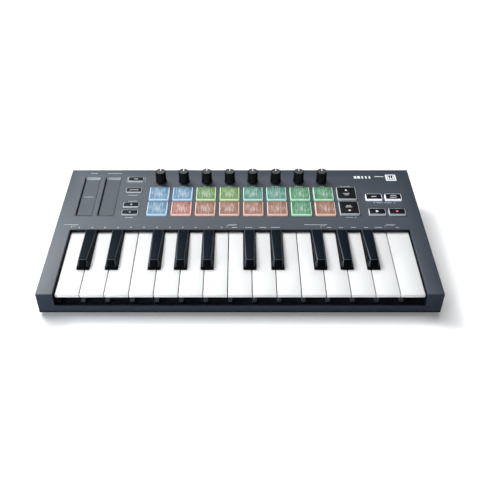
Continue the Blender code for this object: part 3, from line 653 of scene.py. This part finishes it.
def rear_openings(bm):
    """Add the cutters for the sockets and the lock slot in the rear wall."""
    near, far = CASE_HIGH.y - 4 * MM, CASE_HIGH.y + 2 * MM
    low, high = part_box("usb_socket")
    clear = 0.3 * MM
    block(bm, (low.x - clear, near, low.z - clear), (high.x + clear, far, high.z + clear))
    for name, radius in (("midi_socket", 3.1 * MM), ("sustain_socket", 5.2 * MM)):
        prism(bm, circle(*socket_centre(name), radius, 40), near, far, "Y")
    prism(bm, rounded(*LOCK_SLOT, 7.2 * MM, 3.2 * MM, 1.2 * MM), near, far, "Y")


def socket_centre(name):
    """Return the x and z of a round socket's axis, from the collar that reaches furthest back."""
    verts = frame["nodes"][name].data.vertices
    back = max(v.co.y for v in verts)
    collar = [v.co for v in verts if v.co.y > back - 0.05 * MM]
    x = (min(c.x for c in collar) + max(c.x for c in collar)) / 2
    z = (min(c.z for c in collar) + max(c.z for c in collar)) / 2
    return x, z


def shell_material(place, normal):
    """Return a shell face's material index: 1 in the key bay (painted shade), 2 on the strips' ramps (painted
    highlight), 3 on their walls (painted light).
    """
    clear = 0.05 * MM
    in_bay = abs(place.x) < BAY_HALF + clear and 2 * clear < place.y < BAY_BACK + clear
    if in_bay and place.z < -0.45 * MM:
        return 1
    across = any(abs(place.x - x) < STRIP_OPENING[0] / 2 for x in STRIP_X)
    along = abs(place.y - STRIP_S) < STRIP_OPENING[1] / 2
    if not (across and along and CUT_LOW < place.z < -0.1 * MM):
        return 0
    faces_front = (TO_DECK.to_3x3() @ normal).y < -0.3
    return 2 if faces_front and place.z > STRIP_FLOOR + clear else 3


def add_case():
    """Add the top shell, and paint the bottom tray and its feet."""
    hollows = [body_cavity, in_deck(key_bay_top), key_bay_below, cheek_pocket(-1), cheek_pocket(1)]
    openings = [in_deck(deck_openings), in_deck(strip_recesses), rear_openings]
    mesh = carved(mesh_from("top_shell", case_block), hollows + openings)
    dress(mesh, CASE_PLASTIC, BAY_PAINTED_SHADE, RAMP_PAINTED_HIGHLIGHT, GROOVE_PAINTED_LIGHT)
    for face in mesh.polygons:
        face.material_index = shell_material(TO_DECK @ face.center, face.normal)
    shell = add_piece("top_shell", mesh, CASE, node_names=["top_case"])
    smooth(shell, angle=30)
    paint("bottom_case", BASE_PLASTIC)
    for name in frame["nodes"]:
        if name.endswith("_foot"):
            paint(name, FOOT_RUBBER)


def paint(node_name, made):
    """Give a CAD node that stays visible its material."""
    piece = frame["nodes"][node_name]
    dress(piece.data, made)
    smooth(piece)


# ---- the keys ----
def add_keys():
    """Add the keys as copies of the CAD keys with rounded edges."""
    for joint in frame["joints"]:
        name = joint["child"]
        if not name.startswith("key_"):
            continue
        if "sharp" in name:
            mesh = softened(name, black_key_edges(), [BLACK_KEYS, BLACK_SIDES_PAINTED_SHADE, BLACK_EDGE_HIGHLIGHT])
            for face in mesh.polygons:
                face.material_index = black_key_material(mesh, face)
        else:
            low, high = deck_box(name)
            mesh = softened(name, white_key_edges(low.y, high.z), [WHITE_KEYS])
        smooth(add_piece(f"{name}_shape", mesh, name, DECK, [name]))


def white_key_edges(front, top):
    """Return the rounding passes of a white key: its top's outline and its front face's outline."""
    near = 0.1 * MM

    def picked(edge):
        on_top = all(v.co.z > top - near for v in edge.verts)
        on_front = all(v.co.y < front + near for v in edge.verts)
        return on_top or on_front
    return [(picked, 0.4 * MM)]


def black_key_edges():
    """Return the rounding passes of a black key: the edges round its top, then those of its foot."""
    near = 0.05 * MM

    def body(edge):
        heights = [v.co.z for v in edge.verts]
        return min(heights) > FOOT_TOP - near and max(heights) > 0

    def foot(edge):
        return all(abs(v.co.z - FOOT_TOP) < near for v in edge.verts) and edge.calc_length() > 6 * MM
    return [(body, 0.45 * MM), (foot, 0.12 * MM)]


def black_key_material(mesh, face):
    """Return the material index of a black key's face: 0 on its top, 1 on its sides (painted shade), 2 on its
    edges (painted highlight).
    """
    if face.normal.z > 0.97:
        return 0
    corners = [mesh.vertices[i].co for i in face.vertices]
    longest = max((a - b).length for a, b in zip(corners, corners[1:] + corners[:1]))
    narrow = face.area / longest < 0.3 * MM
    return 2 if narrow and face.center.z > 0 else 1


# ---- the pads ----
BLUE, GREEN, LIME = colour(118, 158, 186), colour(122, 159, 104), colour(125, 161, 98)
TEAL, MINT = colour(100, 156, 140), colour(98, 158, 120)
SALMON, TAN = colour(188, 127, 116), colour(170, 123, 102)
PAD_COLOURS = {
    "rear": (BLUE, BLUE, GREEN, LIME, TEAL, TEAL, MINT, MINT),
    "front": (BLUE, SALMON, TAN, TAN, TAN, TAN, MINT, TAN),
}
PAD_RIM = 0.7 * MM            # the clear border at the sides and front of a pad's printed top
PAD_REAR_RIM = 0.35 * MM
PAD_LEAN = 5                  # degrees by which each pad's streaks lean more than its neighbour's


def pad_rings():
    """Return a pad's rings: its wall, its rounded top edge and the outline of its printed top."""
    rings = rounded_block_rings(PAD_WIDTH, PAD_DEPTH, radius=1.0 * MM, low=-2.0 * MM, top=PAD_TOP,
                                edge=0.4 * MM)
    s = (PAD_RIM - PAD_REAR_RIM) / 2
    print_area = rounded(0, s, PAD_WIDTH - 2 * PAD_RIM, PAD_DEPTH - PAD_RIM - PAD_REAR_RIM, 0.5 * MM)
    return rings + [(print_area, PAD_TOP + 0.03 * MM)]


def full_glow(tint):
    """Return a slightly paler tint at full brightness."""
    pale = lighten(tint, 0.1)
    return shade(pale, 1 / max(pale[:3]))


def add_pads():
    """Add the 16 pads, one object each: they differ in the colour that lights them."""
    rings = pad_rings()
    slots = [0] * (len(rings) - 1) + [1]
    for row, tints in PAD_COLOURS.items():
        for column, (x, tint) in enumerate(zip(KNOB_X, tints)):
            name = f"pad_{row}_{column + 1}"
            lean = math.radians((3.5 - column) * PAD_LEAN)
            top = glowing_silicone(f"{name}_top", shade(tint, 0.68), lean)
            skirt = light_skirt(f"{name}_skirt", lighten(tint, 0.25), full_glow(tint), strength=0.45)
            mesh = mesh_from(name, lambda bm: loft(bm, rings, slots), [skirt, top])
            stands_for = ["pad_mat"] if name == "pad_rear_1" else ()
            smooth(add_piece(name, mesh, CASE, on_deck(x, PAD_ROWS[row]), stands_for))


# ---- the buttons ----
CAP_BORDER = 0.36 * MM        # the light border round a button's black top


def add_buttons():
    """Add the buttons: a translucent body whose top is painted black inside a light border."""
    lit_skirt = light_skirt("lit_skirt", colour(240, 245, 250), colour(240, 246, 255), strength=0.55)
    dim_skirt = light_skirt("dim_skirt", colour(205, 212, 219), colour(200, 210, 220), strength=0.10)
    for name in BUTTONS:
        x, s, width, depth, top = button_size(name)
        skirt = lit_skirt if name.startswith("mode") else dim_skirt

        def body(bm):
            loft(bm, rounded_block_rings(
                width, depth, radius=0.9 * MM, low=-3.0 * MM, top=top - 0.05 * MM, edge=0.25 * MM))

        def cap(bm):
            loft(bm, rounded_block_rings(
                width - 2 * CAP_BORDER, depth - 2 * CAP_BORDER, radius=0.6 * MM, low=top - 0.3 * MM, top=top,
                edge=0.1 * MM))

        place = on_deck(x, s)
        smooth(add_piece(f"{name}_body", mesh_from(name, body, [skirt]), name, place, [name]))
        smooth(add_piece(f"{name}_cap", mesh_from(f"{name}_cap", cap, [CAP_BLACK]), name, place))
        marks = BUTTON_MARKS[name]
        mesh = mesh_from(f"{name}_marks", lambda bm: marks(bm, top), [WHITE_INK, RED_GLOW, PINK_INK])
        add_piece(f"{name}_marks", mesh, name, place)


# ---- printed marks: thin plates of ink, in generic shapes ----
def plate(bm, outline, top, slot=0):
    """Add a thin plate of ink on a surface at height top."""
    for face in prism(bm, outline, top - INK, top + INK):
        face.material_index = slot


def bar(bm, x, s, width, depth, top):
    """Add a bar of ink, centred on x, s."""
    plate(bm, [(x - width / 2, s - depth / 2), (x + width / 2, s - depth / 2),
               (x + width / 2, s + depth / 2), (x - width / 2, s + depth / 2)], top)


def word(bm, x, s, width, top, depth=0.9 * MM, letter=0.85 * MM):
    """Add a row of small blocks of uneven height in place of a word, centred on x, s."""
    count = max(2, round(width / letter))
    pitch = width / count
    for number in range(count):
        tall = (1.0, 0.8, 0.9)[number % 3]
        bar(bm, x - width / 2 + (number + 0.5) * pitch, s, 0.72 * pitch, depth * tall, top)


def triangle(bm, x, s, size, turn, top):
    """Add a triangle that points rearwards, turned about its centre."""
    plate(bm, [(x + size * math.cos(turn + a), s + size * math.sin(turn + a))
               for a in (math.pi / 2, math.pi * 7 / 6, math.pi * 11 / 6)], top)


def one_word(width):
    """Return the marks of a button with one word."""
    return lambda bm, top: word(bm, 0, 0, width, top, 0.9 * MM, 0.75 * MM)


def two_words(bm, top):
    """Add the marks of a button with two words, one behind the other."""
    word(bm, 0, 1.2 * MM, 5.2 * MM, top, 0.9 * MM, 0.7 * MM)
    word(bm, 0, -1.2 * MM, 6.8 * MM, top, 0.9 * MM, 0.7 * MM)


def plus_sign(bm, top):
    """Add a plus."""
    bar(bm, 0, 0, 1.9 * MM, 0.5 * MM, top)
    bar(bm, 0, 0, 0.5 * MM, 1.9 * MM, top)


def minus_sign(bm, top):
    """Add a minus."""
    bar(bm, 0, 0, 1.9 * MM, 0.6 * MM, top)


def bank_marks(way):
    """Return the marks of a bank button: a triangle behind or in front of two short words."""
    def marks(bm, top):
        triangle(bm, 0, way * 4.2 * MM, 1.5 * MM, 0 if way > 0 else math.pi, top)
        word(bm, 0, -way * 0.8 * MM, 6.2 * MM, top, 0.8 * MM, 0.7 * MM)
        word(bm, 0, -way * 3.0 * MM, 4.2 * MM, top, 0.8 * MM, 0.7 * MM)
    return marks


def play_sign(bm, top):
    """Add a triangle that points right."""
    triangle(bm, -0.2 * MM, 0, 1.9 * MM, -math.pi / 2, top)


def record_sign(bm, top):
    """Add a round dot with a paler middle."""
    plate(bm, circle(0, 0, 1.15 * MM, 24), top, 1)
    plate(bm, circle(0, 0, 0.5 * MM, 16), top + INK, 2)


BUTTON_MARKS = {
    "shift_button": one_word(3.6 * MM), "transpose_button": one_word(8.6 * MM),
    "octave_up_button": plus_sign, "octave_down_button": minus_sign,
    "bank_up_button": bank_marks(1), "bank_down_button": bank_marks(-1),
    "mode_left_button": one_word(4.6 * MM), "mode_right_button": two_words,
    "play_button": play_sign, "record_button": record_sign,
}


def shift_outline(bm):
    """Add the thin line printed round the shift button."""
    x, s, width, depth, _ = button_size("shift_button")
    gap, weight = 1.1 * MM, 0.25 * MM
    reach = gap + weight
    inner = rounded(x, s, width + 2 * gap, depth + 2 * gap, 1.6 * MM)
    outer = rounded(x, s, width + 2 * reach, depth + 2 * reach, 1.9 * MM)
    corners = ((inner, -INK), (inner, INK), (outer, INK), (outer, -INK))
    rows = [[bm.verts.new((a, b, height)) for a, b in line] for line, height in corners]
    for row, following in zip(rows, rows[1:] + rows[:1]):
        for i, vert in enumerate(row):
            j = (i + 1) % len(row)
            bm.faces.new((vert, following[i], following[j], row[j]))
    bmesh.ops.recalc_face_normals(bm, faces=bm.faces)


def strip_shadow_line(bm, x):
    """Add a thin dark line of painted shadow round the sides and front of a touch strip's recess."""
    width, depth = STRIP_OPENING
    weight, away = 0.55 * MM, 0.5 * MM
    for side in (-1, 1):
        bar(bm, x + side * (width / 2 + away), STRIP_S, weight, depth + away, 0)
    bar(bm, x, STRIP_S - depth / 2 - away, width + 2 * away + weight, weight * 1.6, INK / 2)


def name_blocks(bm):
    """Add a row of plain blocks, and a word, where a name would be printed."""
    s, first, pitch = 159.6 * MM, 112.2 * MM, 3.5 * MM
    for number in range(5):
        width = (2.5 if number < 2 else 1.5) * MM
        bar(bm, first + number * pitch, s, width, 3.9 * MM, 0)
    word(bm, 135.6 * MM, s + 1.2 * MM, 9.0 * MM, 0, 1.3 * MM)


def badge(bm):
    """Add a white badge that shows a plain row of piano keys."""
    x, s, size = 146.8 * MM, 159.0 * MM, 10.2 * MM
    key_pitch, line, half = 2.2 * MM, 0.45 * MM, 3.4 * MM
    plate(bm, rounded(x, s, size, size, 1.0 * MM), 0)
    for number in (-1.5, -0.5, 0.5, 1.5):
        plate(bm, rounded(x + number * key_pitch, s, line, 2 * half, 0.1 * MM), INK, 1)
    for end in (s - half, s + half):
        plate(bm, rounded(x, end, 3 * key_pitch + line, line, 0.1 * MM), 1.2 * INK, 1)
    for number in (-0.5, 0.5):
        plate(bm, rounded(x + number * key_pitch, s + 1.3 * MM, 1.5 * MM, 4.0 * MM, 0.2 * MM), 1.4 * INK, 1)


def bracket(bm, x, s, width):
    """Add a bracket: from its corner one line runs right and another runs towards the keys."""
    weight, reach = 0.3 * MM, 3.0 * MM
    bar(bm, x, s - reach / 2, weight, reach, 0)
    bar(bm, x + width / 2, s, width, weight, 0)


# Printed words, each with its left end, its right end and its place along the deck, in millimetres.
KEY_ROW = 83.7                # the row of marks just behind the keys
STRIP_WORDS = [(-146.3, -139.4, 166.1), (-129.6, -115.8, 166.1)]
LEFT_BUTTON_WORDS = [(-105.7, -96.3, 130.9), (-104.6, -96.2, 121.7), (-104.4, -97.2, 97.7)]
BANK_WORDS = [(98.6, 105.6, 144.6), (96.5, 103.0, 98.0)]
MODE_WORDS = [(127.4, 133.4, 119.6), (134.6, 141.6, 119.6)]
BRACKET_WORDS = [(-158.0, -145.0, 87.5), (-10.7, -2.6, 87.5), (57.6, 78.2, 87.5), (131.2, 139.3, 87.5)]
KEY_WORDS = [(left, right, KEY_ROW) for left, right in (
    (-7.1, -2.6), (4.6, 10.8), (17.1, 23.3), (27.8, 35.8), (77.9, 81.4), (88.6, 92.2),
    (99.3, 103.8), (110.9, 114.5), (120.8, 127.0), (139.5, 142.2))]
WORDS = STRIP_WORDS + LEFT_BUTTON_WORDS + BANK_WORDS + MODE_WORDS + BRACKET_WORDS + KEY_WORDS
KNOB_WORDS = (5.0, 6.5, 5.5, 6.0, 4.5, 8.0, 8.5, 4.5)     # the width of the word in front of each knob
FIRST_DOT, DOT_PITCH, DOTS = -143.7, 11.57, 12
# Small triangles beside a word, each with its place and the degrees it is turned by.
ARROWS = [(97.0, 144.6, 90), (105.2, 98.0, -90), (125.2, 119.6, 90), (143.9, 119.6, -90)]
# Brackets, each with its corner's place and its width.
BRACKETS = [(-151.0, 85.6, 4.0), (-11.6, 86.6, 7.0), (72.4, 86.0, 4.0), (130.0, 86.6, 8.0)]


def deck_marks(bm):
    """Add the words, dots, arrows and brackets printed on the deck."""
    for left, right, s in WORDS:
        word(bm, (left + right) / 2 * MM, s * MM, (right - left) * MM, 0)
    for x, s, turn in ARROWS:
        triangle(bm, x * MM, s * MM, 0.9 * MM, math.radians(turn), 0)
    for number in range(DOTS):
        plate(bm, circle((FIRST_DOT + number * DOT_PITCH) * MM, KEY_ROW * MM, 0.6 * MM, 12), 0)
    for x, s, width in BRACKETS:
        bracket(bm, x * MM, s * MM, width * MM)
    row = PAD_ROWS["rear"] + PAD_DEPTH / 2 + 3.3 * MM
    for x, width in zip(KNOB_X, KNOB_WORDS):
        word(bm, x, row, width * MM, 0, 1.0 * MM)


def add_marks():
    """Add everything printed on the deck and on the pitch strip, and the painted shadow lines round the
    strips.
    """
    prints = {"deck_print": (deck_marks, [GREY_INK]), "name_blocks": (name_blocks, [WHITE_INK]),
              "badge": (badge, [WHITE_INK, CAP_BLACK]), "shift_outline": (shift_outline, [GREY_INK])}
    for name, (build, inks) in prints.items():
        add_piece(name, mesh_from(name, build, inks), CASE, DECK)
    for name, x in zip(STRIPS, STRIP_X):
        # painted shadow: a thin dark sheet round each strip's recess, in the foot rubber's colour
        shadow_line = mesh_from(f"{name}_seal", lambda bm: strip_shadow_line(bm, x), [FOOT_RUBBER])
        add_piece(f"{name}_seal", shadow_line, CASE, DECK)

    def centre_line(bm):
        bar(bm, STRIP_X[0], 130.5 * MM, 8.8 * MM, 0.45 * MM, STRIP_HIGH[0].z)
    mesh = mesh_from("pitch_centre_line", centre_line, [GREY_INK])
    add_piece("pitch_centre_line", mesh, CASE, DECK)


# ---- the knobs ----
KNOB_SIDES = 96
FLUTES = 24
FLUTE_DEPTH = 0.10 * MM


def knob_bands(top):
    """Return a knob's (radius, height) rings, from its shaft to its rim and into its top face."""
    shaft = [(2.7 * MM, 0.7 * MM)]
    skirt = [(5.25 * MM, 0.8 * MM), (5.35 * MM, 1.0 * MM), (5.35 * MM, 1.5 * MM), (5.1 * MM, 2.3 * MM)]
    grip = [(5.0 * MM, 3.0 * MM), (4.85 * MM, top - 1.2 * MM)]
    rim = [(4.8 * MM, top - 0.7 * MM), (4.65 * MM, top - 0.3 * MM), (4.4 * MM, top - 0.1 * MM)]
    face = [(4.15 * MM, top - 0.1 * MM), (4.0 * MM, top - 0.25 * MM)]
    return shaft + skirt + grip + rim, face


def knob_ring(radius, height, top):
    """Return a knob's outline at a height, fluted along its grip."""
    depth = FLUTE_DEPTH if 2.5 * MM < height < top - 0.6 * MM else 0
    outline = []
    for i in range(KNOB_SIDES):
        angle = 2 * math.pi * i / KNOB_SIDES
        r = radius - depth * (0.5 + 0.5 * math.cos(FLUTES * angle))
        outline.append((r * math.cos(angle), r * math.sin(angle)))
    return outline, height


def add_knobs():
    """Add the knobs: fluted sides, a smooth top and a white pointer."""
    for name, x in zip(KNOBS, KNOB_X):
        low, high = deck_box(name)
        side, face = knob_bands(high.z)
        side.insert(0, (side[0][0], low.z))

        def grip(bm):
            rings = [knob_ring(radius, height, high.z) for radius, height in side + face]
            loft(bm, rings, [0] * len(side) + [1] * len(face))

        def pointer(bm):
            block(bm, (-0.45 * MM, 0.8 * MM, high.z - 0.6 * MM), (0.45 * MM, 4.6 * MM, high.z - 0.05 * MM))

        place = on_deck(x, KNOB_S)
        mesh = mesh_from(name, grip, [KNOB_BLACK, KNOB_FACE])
        smooth(add_piece(f"{name}_grip", mesh, name, place, [name]))
        mesh = mesh_from(f"{name}_pointer", pointer, [WHITE_INK])
        add_piece(f"{name}_pointer", mesh, name, place)


# ---- the screws and the inside ----
SCREW_PLACES = [(side * 157.5 * MM, y * MM) for side in (-1, 1) for y in (-72.5, -10.0, 78.0)]
SCREW_PLACES += [(side * 85.0 * MM, 79.3 * MM) for side in (-1, 1)]
SCREW_TURN = 0.7              # how much further round each screw's slots stand, in radians


def add_screws():
    """Add the screws that hold the bottom tray, each sunk in its recess."""
    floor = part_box("bottom_case")[0].z
    radius = 2.4 * MM
    long, short = 2.8 * MM, 0.6 * MM

    def head(bm):
        rings = [(radius - 0.4 * MM, 0.1 * MM), (radius - 0.1 * MM, 0.25 * MM), (radius, 0.45 * MM),
                 (radius, 0.8 * MM)]
        loft(bm, [(circle(0, 0, r, 32), floor + height) for r, height in rings])

    def slot(width, depth):
        low = (-width / 2, -depth / 2, floor - MM)
        high = (width / 2, depth / 2, floor + 0.55 * MM)
        return lambda bm: block(bm, low, high)

    mesh = carved(mesh_from("screw", head), [slot(short, long), slot(long, short)])
    dress(mesh, SCREW_METAL)
    for number, (x, y) in enumerate(SCREW_PLACES):
        place = Matrix.Translation((x, y, 0)) @ Matrix.Rotation(SCREW_TURN * number, 4, "Z")
        smooth(add_piece(f"bottom_screw_{number + 1}", mesh, CASE, place))


def add_insides():
    """Paint the CAD nodes that stay as they are."""
    paints = {"key_chassis": CHASSIS_PLASTIC_PAINTED_LIGHT, "key_contact_strip": CONTACT_SILICONE,
              "usb_socket": SOCKET_METAL}
    paints.update(dict.fromkeys(("key_board", "control_board", "main_board"), BOARD_RESIN))
    paints.update(dict.fromkeys(("midi_socket", "sustain_socket"), SOCKET_PLASTIC))
    paints.update(dict.fromkeys(STRIPS, STRIP_PLASTIC))
    for name, made in paints.items():
        paint(name, made)


# ---- camera, light and floor ----
CAMERA_PLACE = (0, -0.3968, 0.4040)     # in deck coordinates
CAMERA_PITCH = 41.08                    # degrees between its view and the deck
CAMERA_LENS = 52.67


def add_camera():
    """Place the camera in front of and above the keys, looking down at the deck."""
    data = bpy.data.cameras.new("camera")
    data.lens = CAMERA_LENS
    camera = new_object("camera", data)
    camera.location = DECK @ Vector(CAMERA_PLACE)
    camera.rotation_euler = (math.radians(90 - CAMERA_PITCH) + TILT, 0, 0)
    bpy.context.scene.camera = camera


def add_light(name, place, target, size, power, tint=(1, 1, 1)):
    """Add a soft rectangular light aimed at a point."""
    data = bpy.data.lights.new(name, "AREA")
    data.shape = "RECTANGLE"
    data.size, data.size_y = size
    data.energy = power
    data.color = tint
    light = new_object(name, data)
    light.location = place
    light.rotation_euler = (Vector(target) - Vector(place)).to_track_quat("-Z", "Y").to_euler()


def add_floor():
    """Add the pale floor, which glows faintly so that its shadows stay pale."""
    made, _, shader = new_material("floor_white")
    shader.inputs["Base Color"].default_value = (0.95, 0.95, 0.95, 1)
    shader.inputs["Roughness"].default_value = 0.9
    shader.inputs["Specular IOR Level"].default_value = 0.0
    shader.inputs["Emission Color"].default_value = (1, 1, 1, 1)
    shader.inputs["Emission Strength"].default_value = 0.08

    def plane(bm):
        bmesh.ops.create_grid(bm, x_segments=1, y_segments=1, size=8)
    floor = new_object("floor", mesh_from("floor", plane, [made]))
    floor.visible_glossy = False


def add_surround():
    """Add a white surround that only the camera sees."""
    white = bpy.data.materials.new("surround_white")
    white.use_nodes = True
    tree = white.node_tree
    tree.nodes.clear()
    glow = node(tree, "ShaderNodeEmission", {"Color": (1, 1, 1, 1), "Strength": 1.0})
    out = node(tree, "ShaderNodeOutputMaterial")
    tree.links.new(glow.outputs[0], out.inputs["Surface"])

    def ball(bm):
        bmesh.ops.create_icosphere(bm, subdivisions=4, radius=7.5)
    surround = new_object("surround", mesh_from("surround", ball, [white]))
    for flag in ("visible_diffuse", "visible_glossy", "visible_transmission", "visible_shadow"):
        setattr(surround, flag, False)


def add_lights():
    """Add a dim sky and four soft lights: the strongest come from above and from the rear left."""
    world = bpy.data.worlds.new("world")
    bpy.context.scene.world = world
    world.use_nodes = True
    background = world.node_tree.nodes["Background"]
    background.inputs["Color"].default_value = (0.9, 0.95, 1.0, 1)
    background.inputs["Strength"].default_value = 0.06
    bpy.context.scene.view_settings.view_transform = "Standard"
    add_light("overhead", (-0.45, 0.95, 2.6), (0, 0.1, 0), (3.4, 2.2), 66)
    add_light("rear_left_panel", (-0.94, 1.0, 1.5), (-0.05, 0, 0), (1.5, 1.1), 23, (0.94, 0.98, 1.0))
    add_light("rear_left_key", (-0.85, 0.8, 1.35), (0, 0, 0), (0.3, 0.3), 9.5, (0.96, 0.99, 1.0))
    add_light("front_left_fill", (-0.8, -0.7, 0.2), (-0.15, 0, 0.02), (0.5, 0.3), 8.5, (0.9, 0.96, 1.0))


add_camera()
add_floor()
add_surround()
add_lights()
add_case()
add_keys()
add_pads()
add_buttons()
add_marks()
add_knobs()
add_insides()
add_screws()
